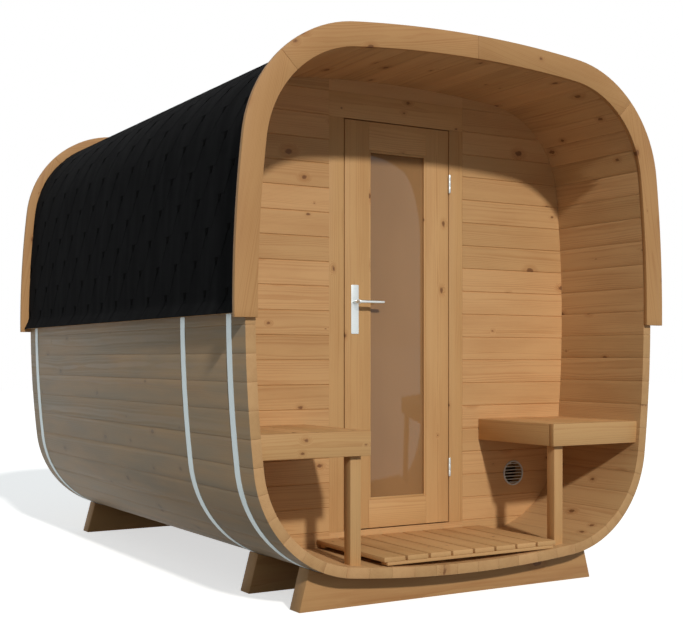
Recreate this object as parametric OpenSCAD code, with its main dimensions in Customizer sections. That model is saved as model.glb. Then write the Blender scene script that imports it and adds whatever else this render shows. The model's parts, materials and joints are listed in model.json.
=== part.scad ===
// Cube sauna: a rounded-square timber body with an open porch, a glazed door,
// shingled roof covering, steel straps and three cradles.
// Units are millimetres. +Z is up, the porch faces -Y, and +X is to the right
// of someone looking at the door. The origin is on the ground under the middle.

/* [Body] */

// outside width of the staves
body_w = 2000; // [1600:10:2400]
// outside height of the staves
body_h = 2100; // [1800:10:2400]
// length of the staves, front to back
body_l = 2667; // [2200:1:4000]
// thickness of a stave
stave_t = 42; // [28:1:60]
// radius of the slight outward bulge of each side
bulge_r = 5300; // [4000:50:9000]
// outside radius of the rounded corners
corner_r = 470; // [350:5:600]
// height of the lowest stave above the ground
ground_gap = 100; // [60:5:200]

/* [Walls] */

// depth of the open porch
porch_d = 537; // [400:1:900]
// how far the rear wall is set in from the stave ends
rear_inset = 60; // [20:1:150]
// thickness of the end walls
wall_t = 42; // [28:1:60]

/* [Door] */

// middle of the door, sideways from the middle of the body
door_x = 12; // [-60:1:60]
// width of the door leaf
leaf_w = 545; // [500:5:760]
// thickness of the door leaf
leaf_t = 40; // [35:1:42]
// width of the leaf's stiles and rails
stile_w = 122; // [80:1:150]
// height of the leaf's lower edge above the floor
sill_h = 81; // [70:1:120]
// height from the leaf's upper edge to the ceiling
over_door = 173; // [150:1:260]
// gap round the leaf
leaf_gap = 5; // [5:1:8]
// width of the frame posts seen from the porch
post_w = 74; // [50:1:100]
// height of the head board over the leaf
head_h = 110; // [80:1:115]
// thickness of the glass
glass_t = 8; // [6:1:10]

/* [Porch benches] */

// height of a porch bench above the floor
bench_up = 540; // [400:1:640]
// how far a bench reaches in from the outside of the staves
bench_in = 545; // [430:1:600]
// height of the bench frame boards
bench_h = 95; // [70:1:120]
// thickness of the bench boards
bench_t = 28; // [20:1:35]
// width of a bench post
leg_w = 48; // [40:1:70]

/* [Duckboard] */

// width left clear beside the duckboard, both sides together
duck_clear = 1140; // [1100:10:1300]
// height of the duckboard's top above the floor
duck_up = 52; // [48:1:62]
// number of duckboard slats
duck_n = 8; // [6:1:10]

/* [Roof] */

// how far the eaves hang below the middle of the body
eaves_drop = 28; // [-100:1:150]
// thickness of the roof covering
cover_t = 6; // [4:1:10]
// width of an arch board beyond the staves
arch_out = 52; // [40:1:70]
// thickness of an arch board
arch_t = 20; // [16:1:30]

/* [Straps and cradles] */

// width of a steel strap
strap_w = 42; // [25:1:50]
// thickness of a steel strap
strap_t = 1.5; // [1:0.1:3]
// distance from the stave ends to the middle of the end straps
strap_y = 134; // [100:1:200]
// distance between the first two straps
strap_gap = 426; // [300:1:600]
// thickness of a cradle
cradle_t = 80; // [60:1:100]
// how much shorter a cradle is than the body is wide
cradle_short = 544; // [400:2:700]

/* [Room benches] */

// height of the upper bench above the floor
upper_up = 822; // [700:1:900]
// height of the lower bench above the floor
lower_up = 383; // [330:1:450]
// how far the upper bench reaches in from the outside of the staves
upper_in = 500; // [400:5:600]
// how far the lower bench reaches in from the outside of the staves
lower_in = 700; // [620:5:700]
// height of the room bench front boards
room_board_h = 92; // [70:1:120]

/* [Hidden] */

$fn = 256;

seat_gap = 0.3;        // gap left between a curved face and what lies on it
joint_gap = 0.1;       // half the gap between two runs of staves
arc_lap = 0.03;        // makes each corner arc cross its neighbours cleanly
past = 1;              // how far a cutting shape runs past what it cuts
front_y = -body_l / 2; // plane of the front stave ends
rear_y = body_l / 2;   // plane of the rear stave ends
mid_z = ground_gap + body_h / 2;

// Middle of the section's upper right corner arc, measured from the section's
// own middle. It is the same distance from the middles of both bulge arcs.
bulge_in = bulge_r - corner_r;
side_c = body_w / 2 - bulge_r;
top_c = body_h / 2 - bulge_r;
c_dist = norm([side_c, top_c]);
c_rise = sqrt(bulge_in * bulge_in - c_dist * c_dist / 4);
corner_x = side_c / 2 + c_rise * abs(top_c) / c_dist;
corner_z = top_c / 2 + c_rise * abs(side_c) / c_dist;

// Half angles of the side and the top arcs.
side_a = atan2(corner_z, corner_x - side_c);
top_a = atan2(corner_x, corner_z - top_c);

// Height of the floor's upper face at a distance from the middle.
function floor_z(x) = mid_z - top_c - sqrt(pow(bulge_r - stave_t, 2) - x * x);

floor_top = ground_gap + stave_t;
wall_y = front_y + porch_d; // front face of the porch wall
rear_wall_y = rear_y - rear_inset - wall_t;
inner_off = -stave_t - seat_gap;

// Door, from the hinge side's own edges.
leaf_x0 = door_x - leaf_w / 2;
leaf_x1 = door_x + leaf_w / 2;
leaf_z = floor_top + sill_h;
leaf_top = ground_gap + body_h - stave_t - over_door;
open_x0 = leaf_x0 - leaf_gap;
open_x1 = leaf_x1 + leaf_gap;
frame_x0 = open_x0 - post_w;
frame_x1 = open_x1 + post_w;
sill_top = leaf_z - leaf_gap;
head_z = leaf_top + leaf_gap;
head_top = head_z + head_h;
stop_gap = 5;
stop_t = 18;
stop_w = 15;
frame_d = leaf_t + stop_gap + stop_t;
glass_in = 12;

hinge_h = 78;
hinge_r = 6;
hinge_clear = 0.5;     // between a knuckle and the wall's face
pin_r = 3;
pin_fit = 0.08;
flap_t = 1.8;
flap_d = 30;
low_hinge_up = 246;    // middle of the lower hinge above the leaf's lower edge
high_hinge_down = 239; // middle of the upper hinge below the leaf's upper edge
hinge_low_z = leaf_z + low_hinge_up;
hinge_high_z = leaf_top - high_hinge_down;
hinge_x = leaf_x1 + leaf_gap / 2;
hinge_y = wall_y - hinge_r - hinge_clear;

plate_w = 38;
plate_h = 211;
plate_t = 3;
handle_in = 49;        // middle of the handle from the leaf's free edge
plate_up = 947;        // middle of the plate above the leaf's lower edge
lever_up = 979;        // the lever above the leaf's lower edge
handle_x = leaf_x0 + handle_in;
plate_z = leaf_z + plate_up;
lever_z = leaf_z + lever_up;
lever_l = 122;
lever_r = 9;
lever_out = 48;
spindle_r = 6;
spindle_hole_r = 8;

vent_in = 342;         // middle of the vent from the outside of the staves
vent_up = 282;         // middle of the vent above the floor
vent_x = body_w / 2 - vent_in;
vent_z = floor_top + vent_up;
vent_r = 58;
vent_rim = 7;
vent_hole_r = 50;
vent_t = 5;
vent_bars = 7;
vent_bar_share = 0.4;  // share of the pitch that a bar fills

// Porch and room benches.
bench_back = 20;       // how far a bench stands back from the stave ends
bench_front = front_y + bench_back;
bench_x = body_w / 2 - bench_in;
bench_z = floor_top + bench_up;
slat_t = 22;
slat_gap = 2;          // between the slats of a porch bench
room_gap = 10;         // between the slats of a room bench
porch_slats = 5;
duck_back = 8;         // how far the duckboard lies back from the stave ends
duck_front = front_y + duck_back;
duck_w = body_w - duck_clear;
duck_z = floor_top + duck_up;
duck_slat_t = 20;
duck_x = 28;           // middle of the duckboard, sideways
duck_gap = 10;
duck_battens = 3;
batten_inset = 15;     // a batten's ends from the duckboard's sides
batten_in = 1;         // the end battens from the duckboard's ends
room_y0 = wall_y + frame_d;
room_y1 = rear_wall_y;
upper_x = body_w / 2 - upper_in;
upper_z = floor_top + upper_up;
lower_x = body_w / 2 - lower_in;
lower_back = 220;      // the lower bench's rear edge from the outside of the staves
lower_x1 = body_w / 2 - lower_back;
lower_z = floor_top + lower_up;
room_slats = 4;
bearer_w = 45;
bearer_n = 4;
bearer_lift = 10;      // a bearer's underside above the front board's

rear_strap_out = 17;   // the rear strap is this much nearer its end
strap_ys = [front_y + strap_y, front_y + strap_y + strap_gap,
            rear_y - strap_y + rear_strap_out];
cover_off = strap_t + 2 * seat_gap;
eaves_z = mid_z - eaves_drop;
foot_drop = 17;        // an arch board's foot below the eaves
arch_foot = eaves_z - foot_drop;
flare_h = 52;
flare_out = 26;
lath_tip = 12;
cradle_lean = 0.27;    // how far a cradle's end leans in for each unit of height
cradle_top = ground_gap + 90;

pine = [0.80, 0.62, 0.42];
pine_dark = [0.70, 0.53, 0.36];
steel = [0.74, 0.79, 0.80];
bitumen = [0.09, 0.09, 0.10];
glass_tint = [0.62, 0.45, 0.34, 0.5];

// ---------- shared shapes ----------

// Part of a ring round the Y direction, centred on [cx, cz] of the section.
module sector(cx, cz, r0, r1, a0, a1, y0, y1) {
  translate([cx, y1, mid_z + cz]) rotate([90, 0, 0])
    rotate_extrude(angle = a1 - a0, start = a0)
      translate([r0, 0]) square([r1 - r0, y1 - y0]);
}

// One side arc of the section. s is 1 for the right, -1 for the left.
module side_arc(s, o0, o1, y0, y1) {
  mid = s > 0 ? 0 : 180;
  sector(s * side_c, 0, bulge_r + o0, bulge_r + o1, mid - side_a, mid + side_a, y0, y1);
}

// The top arc (s = 1) or the bottom arc (s = -1).
module level_arc(s, o0, o1, y0, y1) {
  sector(0, s * top_c, bulge_r + o0, bulge_r + o1,
         s * 90 - top_a, s * 90 + top_a, y0, y1);
}

// A corner arc; sx and sz say which corner.
module corner_arc(sx, sz, o0, o1, y0, y1) {
  start = sz > 0 ? (sx > 0 ? side_a : 90 + top_a)
                 : (sx > 0 ? top_a - 90 : 180 + side_a);
  sweep = 90 - top_a - side_a;
  trim = joint_gap / corner_r * 180 / PI;
  sector(sx * corner_x, sz * corner_z, corner_r + o0, corner_r + o1,
         start + trim, start + sweep - trim, y0, y1);
}

module bar(x0, x1, y0, y1, z0, z1) {
  translate([x0, y0, z0]) cube([x1 - x0, y1 - y0, z1 - z0]);
}

module rod(x, z, r, y0, y1) {
  translate([x, y1, z]) rotate([90, 0, 0]) cylinder(r = r, h = y1 - y0);
}

// The whole section as a solid block, grown by an offset.
module section_block(off, y0, y1) {
  r = bulge_r + off;
  tip = 3 * corner_r;
  difference() {
    intersection() {
      rod(side_c, mid_z, r, y0, y1);
      rod(-side_c, mid_z, r, y0, y1);
      rod(0, mid_z + top_c, r, y0, y1);
      rod(0, mid_z - top_c, r, y0, y1);
    }
    for (sx = [-1, 1], sz = [-1, 1])
      difference() {
        translate([sx * corner_x, y1 + past, mid_z + sz * corner_z]) rotate([90, 0, 0])
          linear_extrude(height = y1 - y0 + 2 * past)
            polygon([[0, 0],
                     [sx * tip * cos(side_a), sz * tip * sin(side_a)],
                     [sx * tip * sin(top_a), sz * tip * cos(top_a)]]);
        rod(sx * (corner_x + arc_lap), mid_z + sz * (corner_z + arc_lap),
            corner_r + off, y0 - 2 * past, y1 + 2 * past);
      }
  }
}

// A thin layer round the whole section, between two offsets.
module section_ring(o0, o1, y0, y1) {
  difference() {
    section_block(o1, y0, y1);
    section_block(o0, y0 - past, y1 + past);
  }
}

// What is drawn, kept to the inside of the staves.
module inside_staves(y0, y1) {
  intersection() {
    section_block(inner_off, y0, y1);
    children();
  }
}

// ---------- body ----------

module floor_staves() {
  color(pine_dark) level_arc(-1, -stave_t, 0, front_y, rear_y);
}

module ceiling_staves() {
  color(pine_dark) level_arc(1, -stave_t, 0, front_y, rear_y);
}

module right_wall_staves() {
  color(pine) side_arc(1, -stave_t, 0, front_y, rear_y);
}

module left_wall_staves() {
  color(pine) side_arc(-1, -stave_t, 0, front_y, rear_y);
}

module corner_staves(sx, sz) {
  color(pine) corner_arc(sx, sz, -stave_t, 0, front_y, rear_y);
}

// ---------- end walls ----------

module front_wall_left() {
  color(pine) inside_staves(wall_y, wall_y + wall_t)
    bar(-body_w, frame_x0, wall_y - past, wall_y + wall_t + past, 0, mid_z + body_h);
}

module front_wall_right() {
  color(pine) difference() {
    inside_staves(wall_y, wall_y + wall_t)
      bar(frame_x1, body_w, wall_y - past, wall_y + wall_t + past, 0, mid_z + body_h);
    rod(vent_x, vent_z, vent_hole_r, wall_y - past, wall_y + wall_t + past);
  }
}

module front_wall_top() {
  color(pine) inside_staves(wall_y, wall_y + wall_t)
    bar(frame_x0, frame_x1, wall_y - past, wall_y + wall_t + past, head_top,
        mid_z + body_h);
}

module rear_wall() {
  color(pine) section_block(inner_off, rear_wall_y, rear_wall_y + wall_t);
}

// ---------- door frame ----------

module frame_post(s) {
  edge = s > 0 ? open_x1 : open_x0;
  outer = s > 0 ? frame_x1 : frame_x0;
  lip = edge - s * stop_w;
  color(pine) {
    bar(min(edge, outer), max(edge, outer), wall_y, wall_y + frame_d, sill_top, head_z);
    bar(min(lip, outer), max(lip, outer), wall_y + leaf_t + stop_gap, wall_y + frame_d,
        sill_top, head_z);
  }
}

module frame_head() {
  color(pine) {
    bar(frame_x0, frame_x1, wall_y, wall_y + frame_d, head_z, head_top);
    bar(open_x0 + stop_w, open_x1 - stop_w, wall_y + leaf_t + stop_gap,
        wall_y + frame_d, head_z - stop_w, head_z + past);
  }
}

module door_sill() {
  color(pine) inside_staves(wall_y, wall_y + frame_d)
    bar(frame_x0, frame_x1, wall_y - past, wall_y + frame_d + past, 0, sill_top);
}

// ---------- door leaf ----------

module spindle_bore(r) {
  rod(handle_x, lever_z, r, wall_y - leaf_t, wall_y + 2 * leaf_t);
}

module door_stiles() {
  color(pine) difference() {
    for (x = [leaf_x0, leaf_x1 - stile_w])
      bar(x, x + stile_w, wall_y, wall_y + leaf_t, leaf_z, leaf_top);
    spindle_bore(spindle_hole_r);
  }
}

module door_rails() {
  color(pine) for (z = [leaf_z, leaf_top - stile_w])
    bar(leaf_x0 + stile_w, leaf_x1 - stile_w, wall_y, wall_y + leaf_t, z, z + stile_w);
}

module door_glass() {
  y = wall_y + glass_in;
  color(glass_tint)
    bar(leaf_x0 + stile_w, leaf_x1 - stile_w, y, y + glass_t,
        leaf_z + stile_w, leaf_top - stile_w);
}

// The knuckle runs up beside the gap, with its middle third on the door.
module knuckle(z0, z1) {
  translate([hinge_x, hinge_y, z0]) cylinder(r = hinge_r, h = z1 - z0);
}

module hinge_door_halves() {
  third = hinge_h / 3;
  color(steel) for (z = [hinge_low_z, hinge_high_z])
    difference() {
      union() {
        knuckle(z - third / 2, z + third / 2);
        bar(leaf_x1, leaf_x1 + flap_t, hinge_y, wall_y + flap_d,
            z - third / 2, z + third / 2);
      }
      translate([hinge_x, hinge_y, z - third])
        cylinder(r = pin_r + pin_fit, h = 2 * third);
    }
}

module hinge_frame_halves() {
  third = hinge_h / 3;
  color(steel) for (z = [hinge_low_z, hinge_high_z]) {
    for (end = [-1, 1]) {
      z0 = z + end * third - third / 2 + seat_gap;
      z1 = z + end * third + third / 2 - seat_gap;
      knuckle(z0, z1);
      bar(open_x1 - flap_t, open_x1, hinge_y, wall_y + flap_d, z0, z1);
    }
    translate([hinge_x, hinge_y, z - hinge_h / 2]) cylinder(r = pin_r, h = hinge_h);
  }
}

module handle_plates() {
  color(steel) difference() {
    for (y = [wall_y - plate_t, wall_y + leaf_t])
      bar(handle_x - plate_w / 2, handle_x + plate_w / 2, y, y + plate_t,
          plate_z - plate_h / 2, plate_z + plate_h / 2);
    spindle_bore(spindle_r + pin_fit);
  }
}

// A lever on each side of the leaf, joined by the spindle.
module lever_handle() {
  y_out = wall_y - lever_out;
  y_in = wall_y + leaf_t + lever_out;
  color(steel) {
    rod(handle_x, lever_z, spindle_r, y_out, y_in);
    for (y = [y_out, y_in])
      translate([handle_x, y, lever_z]) {
        sphere(r = lever_r);
        rotate([0, 90, 0]) cylinder(r = lever_r, h = lever_l - lever_r);
        translate([lever_l - lever_r, 0, 0]) sphere(r = lever_r);
      }
  }
}

module vent_grille() {
  inner_r = vent_r - vent_rim;
  pitch = 2 * inner_r / vent_bars;
  color(steel) {
    difference() {
      rod(vent_x, vent_z, vent_r, wall_y - vent_t, wall_y);
      rod(vent_x, vent_z, inner_r, wall_y - vent_t - past, wall_y + past);
    }
    intersection() {
      rod(vent_x, vent_z, inner_r + past, wall_y - vent_t + past, wall_y);
      for (i = [0 : vent_bars - 1])
        bar(vent_x - vent_r, vent_x + vent_r, wall_y - vent_t, wall_y + past,
            vent_z - inner_r + (i + 0.5 - vent_bar_share / 2) * pitch,
            vent_z - inner_r + (i + 0.5 + vent_bar_share / 2) * pitch);
    }
  }
}

// ---------- porch benches ----------

// Frame: the board facing out, the long board facing the sitter's legs and a
// ledger on the wall.
module bench_frame(s) {
  z0 = bench_z - bench_h;
  ledge_z1 = bench_z - slat_t;
  beam0 = s * bench_x;
  beam1 = s * (bench_x + bench_t);
  ledge = s * (bench_x + bench_t + leg_w);
  far = s * body_w / 2;
  color(pine) inside_staves(bench_front, wall_y) {
    union() {
      bar(min(beam0, far), max(beam0, far), bench_front, bench_front + bench_t,
          z0, bench_z);
      bar(min(beam0, beam1), max(beam0, beam1), bench_front, wall_y, z0, bench_z);
      bar(min(beam0, far), max(beam0, far), wall_y - bench_t, wall_y, z0, ledge_z1);
      bar(min(ledge, far), max(ledge, far), bench_front, bench_front + 2 * bench_t,
          z0, ledge_z1);
    }
  }
}

module bench_slats(s) {
  x0 = bench_x + bench_t + slat_gap / 2;
  x1 = body_w / 2 - stave_t;
  pitch = (x1 - x0) / porch_slats;
  color(pine) inside_staves(bench_front + bench_t, wall_y)
    for (i = [0 : porch_slats - 1]) {
      a = s * (x0 + i * pitch);
      b = s * (x0 + (i + 1) * pitch - slat_gap);
      bar(min(a, b), max(a, b), bench_front + bench_t, wall_y,
          bench_z - slat_t, bench_z);
    }
}

module bench_post(s) {
  a = s * (bench_x + bench_t);
  b = s * (bench_x + bench_t + leg_w);
  y0 = bench_front + bench_t;
  color(pine) inside_staves(y0, y0 + leg_w)
    bar(min(a, b), max(a, b), y0, y0 + leg_w, 0, bench_z - slat_t);
}

// ---------- duckboard ----------

module duckboard_slats() {
  pitch = (duck_w + duck_gap) / duck_n;
  color(pine) for (i = [0 : duck_n - 1])
    bar(duck_x - duck_w / 2 + i * pitch, duck_x - duck_w / 2 + (i + 1) * pitch - duck_gap,
        duck_front, wall_y - seat_gap, duck_z - duck_slat_t, duck_z);
}

module duckboard_battens() {
  span = wall_y - duck_front - bearer_w - 2 * batten_in;
  x0 = duck_x - duck_w / 2 + batten_inset;
  x1 = duck_x + duck_w / 2 - batten_inset;
  z0 = floor_z(max(abs(x0), abs(x1))) + seat_gap;
  color(pine_dark) for (i = [0 : duck_battens - 1]) {
    y = duck_front + batten_in + i * span / (duck_battens - 1);
    bar(x0, x1, y, y + bearer_w, z0, duck_z - duck_slat_t);
  }
}

// ---------- room benches ----------

// A bench along the right wall of the room: slats and a front board.
module room_bench(x0, x1, z) {
  pitch = (x1 - x0 - bench_t) / room_slats;
  color(pine) inside_staves(room_y0, room_y1) {
    union() {
      bar(x0, x0 + bench_t, room_y0, room_y1, z - room_board_h, z);
      for (i = [0 : room_slats - 1])
        bar(x0 + bench_t + room_gap + i * pitch, x0 + bench_t + (i + 1) * pitch,
            room_y0, room_y1, z - slat_t, z);
    }
  }
}

module upper_room_bench() {
  room_bench(upper_x, body_w / 2 - stave_t, upper_z);
}

module lower_room_bench() {
  room_bench(lower_x, lower_x1, lower_z);
}

module room_bearers(x0, z) {
  span = room_y1 - room_y0 - bearer_w;
  color(pine_dark) inside_staves(room_y0, room_y1)
    for (i = [0 : bearer_n - 1]) {
      y = room_y0 + i * span / (bearer_n - 1);
      bar(x0 + bench_t, body_w, y, y + bearer_w, z - room_board_h + bearer_lift, z - slat_t);
    }
}

// ---------- underneath and round the body ----------

module cradles() {
  half = (body_w - cradle_short) / 2;
  half_top = half - cradle_lean * cradle_top;
  color(pine_dark) for (y = strap_ys)
    difference() {
      translate([0, y + cradle_t / 2, 0]) rotate([90, 0, 0])
        linear_extrude(height = cradle_t)
          polygon([[-half, 0], [half, 0], [half_top, cradle_top], [-half_top, cradle_top]]);
      section_block(cover_off, y - cradle_t, y + cradle_t);
    }
}

module steel_straps() {
  color(steel) for (y = strap_ys)
    section_ring(seat_gap, seat_gap + strap_t, y - strap_w / 2, y + strap_w / 2);
}

// How far out the covering's inner face is at a height above the ground.
function cover_x(z) = side_c + sqrt(pow(bulge_r + cover_off, 2) - pow(z - mid_z, 2));

module roof_covering() {
  z0 = eaves_z + flare_h;
  edge = cover_x(z0);
  color(bitumen) {
    intersection() {
      section_ring(cover_off, cover_off + cover_t, front_y, rear_y);
      bar(-body_w, body_w, front_y - past, rear_y + past, z0, mid_z + body_h);
    }
    for (s = [-1, 1])
      translate([0, rear_y, 0]) rotate([90, 0, 0]) linear_extrude(height = body_l)
        polygon([[s * edge, z0],
                 [s * (edge + cover_t), z0],
                 [s * (edge + cover_t + flare_out), eaves_z],
                 [s * (edge + flare_out), eaves_z]]);
  }
}

// The laths that tilt the lowest shingles outward.
module eaves_battens() {
  back = body_w / 2 + cover_off;
  face = cover_x(eaves_z + flare_h) - 2 * seat_gap;
  tip_z = eaves_z + flare_h - lath_tip;
  color(pine_dark) for (s = [-1, 1])
    translate([0, rear_y, 0]) rotate([90, 0, 0]) linear_extrude(height = body_l)
      polygon([[s * back, eaves_z],
               [s * (face + flare_out), eaves_z],
               [s * (face + flare_out * lath_tip / flare_h), tip_z],
               [s * back, tip_z]]);
}

// An arch board over each end, from foot to foot.
module arch(y0, y1) {
  color(pine) intersection() {
    section_ring(-stave_t, arch_out, y0, y1);
    bar(-body_w, body_w, y0 - past, y1 + past, arch_foot, mid_z + body_h);
  }
}

// ---------- what is drawn ----------

floor_staves();
right_wall_staves();
left_wall_staves();
ceiling_staves();
corner_staves(1, -1);  // lower_right_corner_staves
corner_staves(-1, -1);  // lower_left_corner_staves
corner_staves(1, 1);  // upper_right_corner_staves
corner_staves(-1, 1);  // upper_left_corner_staves
front_wall_left();
front_wall_right();
front_wall_top();
rear_wall();
frame_post(-1);  // frame_left_post
frame_post(1);  // frame_right_post
frame_head();
door_sill();
door_stiles();
door_rails();
door_glass();
hinge_door_halves();
hinge_frame_halves();
handle_plates();
lever_handle();
vent_grille();
bench_frame(-1);  // left_bench_frame
bench_slats(-1);  // left_bench_slats
bench_post(-1);  // left_bench_post
bench_frame(1);  // right_bench_frame
bench_slats(1);  // right_bench_slats
bench_post(1);  // right_bench_post
duckboard_slats();
duckboard_battens();
upper_room_bench();
room_bearers(upper_x, upper_z);  // upper_room_bearers
lower_room_bench();
room_bearers(lower_x, lower_z);  // lower_room_bearers
cradles();
steel_straps();
roof_covering();
eaves_battens();
arch(front_y - arch_t, front_y);  // front_arch
arch(rear_y, rear_y + arch_t);  // rear_arch
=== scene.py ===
# %% [markdown]
# # A cube sauna
# The real thing is a rounded-square barrel of tongue-and-groove pine, closed by two plank
# walls, held by steel straps and carried on three cradles. The frame gives every size. Here
# each plain solid is swapped for the boards, shingles and fittings it stands for.

# %% Load the frame
import json
import math
import random

import bpy
import numpy as np
from mathutils import Matrix, Vector


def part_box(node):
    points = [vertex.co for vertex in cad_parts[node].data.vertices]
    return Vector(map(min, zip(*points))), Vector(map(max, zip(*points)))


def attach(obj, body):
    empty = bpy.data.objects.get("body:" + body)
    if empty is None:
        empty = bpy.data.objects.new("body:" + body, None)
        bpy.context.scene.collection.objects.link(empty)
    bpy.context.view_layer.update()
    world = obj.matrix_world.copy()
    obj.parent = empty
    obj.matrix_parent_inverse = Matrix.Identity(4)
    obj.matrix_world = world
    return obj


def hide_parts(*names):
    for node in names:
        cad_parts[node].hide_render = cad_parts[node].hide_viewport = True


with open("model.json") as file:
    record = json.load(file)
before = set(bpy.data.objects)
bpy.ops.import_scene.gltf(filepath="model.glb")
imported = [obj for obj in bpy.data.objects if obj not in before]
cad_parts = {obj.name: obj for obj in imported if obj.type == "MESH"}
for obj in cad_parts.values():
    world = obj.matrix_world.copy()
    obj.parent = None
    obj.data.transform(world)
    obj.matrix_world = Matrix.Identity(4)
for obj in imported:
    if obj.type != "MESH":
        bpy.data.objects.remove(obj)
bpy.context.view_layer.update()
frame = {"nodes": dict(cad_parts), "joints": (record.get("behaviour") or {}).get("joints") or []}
dice = random.Random(11)

# %% [markdown]
# ## Small helpers
# Operators work on whatever is selected, so one helper selects exactly the pieces meant.
# Everything is modelled in place, and its place is then applied to its mesh.

# %% Widths of eased edges
FINE_EDGE = 0.0015    # planed joinery
SAWN_EDGE = 0.002     # plain boards
SOFT_EDGE = 0.003     # legs and rails
ROUND_EDGE = 0.004    # slats that people sit or step on, and heavy beams
print("edges eased by", FINE_EDGE * 1000, "to", ROUND_EDGE * 1000, "mm")


# %% Select, ease and keep
def only(*pieces):
    """Selects these objects and nothing else; the first is active."""
    bpy.ops.object.select_all(action="DESELECT")
    for piece in pieces:
        piece.select_set(True)
    bpy.context.view_layer.objects.active = pieces[0]


def apply_modifier(piece, kind, **settings):
    """Adds one modifier to a piece, sets it and applies it."""
    modifier = piece.modifiers.new(kind.lower(), kind)
    for name, value in settings.items():
        setattr(modifier, name, value)
    only(piece)
    bpy.ops.object.modifier_apply(modifier=modifier.name)


def ease(piece, width, segments=2, angle=35):
    """Rounds a piece's sharp edges, as sandpaper or a cutter does."""
    apply_modifier(piece, "BEVEL", width=width, segments=segments, limit_method="ANGLE",
                   angle_limit=math.radians(angle))


def joined(name, pieces):
    """Joins pieces into one under a new name."""
    only(*pieces)
    if len(pieces) > 1:
        bpy.ops.object.join()
    piece = bpy.context.object
    piece.name = name
    return piece


def bar(low, high, edge=SAWN_EDGE, turn=(0, 0, 0)):
    """A squared bar between two corners, with eased edges."""
    low, high = Vector(low), Vector(high)
    bpy.ops.object.select_all(action="DESELECT")
    bpy.ops.mesh.primitive_cube_add(size=1, location=(low + high) / 2, rotation=turn,
                                    scale=high - low)
    bpy.ops.object.transform_apply(location=True, rotation=True, scale=True)
    piece = bpy.context.object
    if edge:
        ease(piece, edge)
    return piece


def place_of(node):
    """The separate solids of a CAD node, each as its lowest and highest corner."""
    mesh = frame["nodes"][node].data
    points = np.array([v.co for v in mesh.vertices])
    keys = np.unique(np.round(points, 5), axis=0, return_inverse=True)[1].reshape(-1)
    root = list(range(keys.max() + 1))

    def top(i):
        while root[i] != i:
            root[i] = root[root[i]]
            i = root[i]
        return i

    for face in mesh.polygons:
        first = top(keys[face.vertices[0]])
        for corner in face.vertices[1:]:
            root[top(keys[corner])] = first
    groups = {}
    for i, key in enumerate(keys):
        groups.setdefault(top(key), []).append(i)
    boxes = [(Vector(points[g].min(0)), Vector(points[g].max(0))) for g in groups.values()]
    return sorted(boxes, key=lambda b: tuple(round(c, 4) for c in b[0]))


def copy_of(node):
    """A clean copy of a CAD node's mesh, its loose triangles merged into whole faces."""
    piece = bpy.data.objects.new(node + "_copy", frame["nodes"][node].data.copy())
    bpy.context.scene.collection.objects.link(piece)
    piece.data.materials.clear()
    only(piece)
    bpy.ops.mesh.customdata_custom_splitnormals_clear()
    bpy.ops.object.mode_set(mode="EDIT")
    bpy.ops.mesh.select_all(action="SELECT")
    bpy.ops.mesh.remove_doubles(threshold=0.00002)
    bpy.ops.mesh.dissolve_limited(angle_limit=math.radians(0.3))
    bpy.ops.object.mode_set(mode="OBJECT")
    return piece


def keep(piece, name, body, slot, material, *nodes, smooth=40):
    """Names a finished piece, gives it its finish, ties it to its body and hides the CAD nodes it
    replaces.
    """
    piece.name = name
    piece.data.name = name
    if material is not None:
        piece.data.materials.clear()
        piece.data.materials.append(material)
    only(piece)
    bpy.ops.object.shade_smooth_by_angle(angle=math.radians(smooth))
    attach(piece, body)
    if nodes:
        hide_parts(*nodes)
    print(name, len(piece.data.polygons), "faces")
    return piece


# %% [markdown]
# ## The lie of the wood
# Planks are cut from a log, so grain is a solid pattern: rings round the pith, drawn out
# along the fibres. Each corner of a board's mesh keeps its place in its own log, in metres,
# as an attribute. Boards then never share a pattern, and a bent stave's grain bends with it.


# %% Grain coordinates
def corners_of(piece):
    """Every face corner's position, as an array."""
    mesh = piece.data
    points = np.empty(len(mesh.vertices) * 3)
    mesh.vertices.foreach_get("co", points)
    index = np.empty(len(mesh.loops), int)
    mesh.loops.foreach_get("vertex_index", index)
    return points.reshape(-1, 3)[index]


def log_place():
    """A random place in a log: along it, then across and below the board to the pith."""
    return np.array([dice.uniform(0, 60), dice.uniform(-0.06, 0.06), dice.uniform(0.015, 0.11)])


def write_grain(piece, grain, shade):
    """Stores grain coordinates and the board's own shade on every corner."""
    mesh = piece.data
    for name, kind in (("grain", "FLOAT_VECTOR"), ("shade", "FLOAT")):
        if name not in mesh.attributes:
            mesh.attributes.new(name, kind, "CORNER")
    mesh.attributes["grain"].data.foreach_set("vector", grain.astype(np.float32).ravel())
    mesh.attributes["shade"].data.foreach_set("value", shade.astype(np.float32))


def lay_grain(piece, along, wide):
    """Grain for one straight board, with fibres and wide face in the given directions."""
    along, wide = Vector(along).normalized(), Vector(wide).normalized()
    axes = np.array([along, wide, along.cross(wide)])
    place = corners_of(piece) @ axes.T
    middle = (place.max(0) + place.min(0)) / 2
    middle[0] = 0
    grain = place - middle + log_place()
    write_grain(piece, grain, np.full(len(grain), dice.random()))
    return piece


def board(low, high, along, wide, edge=SAWN_EDGE):
    """One eased board with its grain."""
    return lay_grain(bar(low, high, edge), along, wide)


X, Y, Z = (1, 0, 0), (0, 1, 0), (0, 0, 1)
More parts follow.
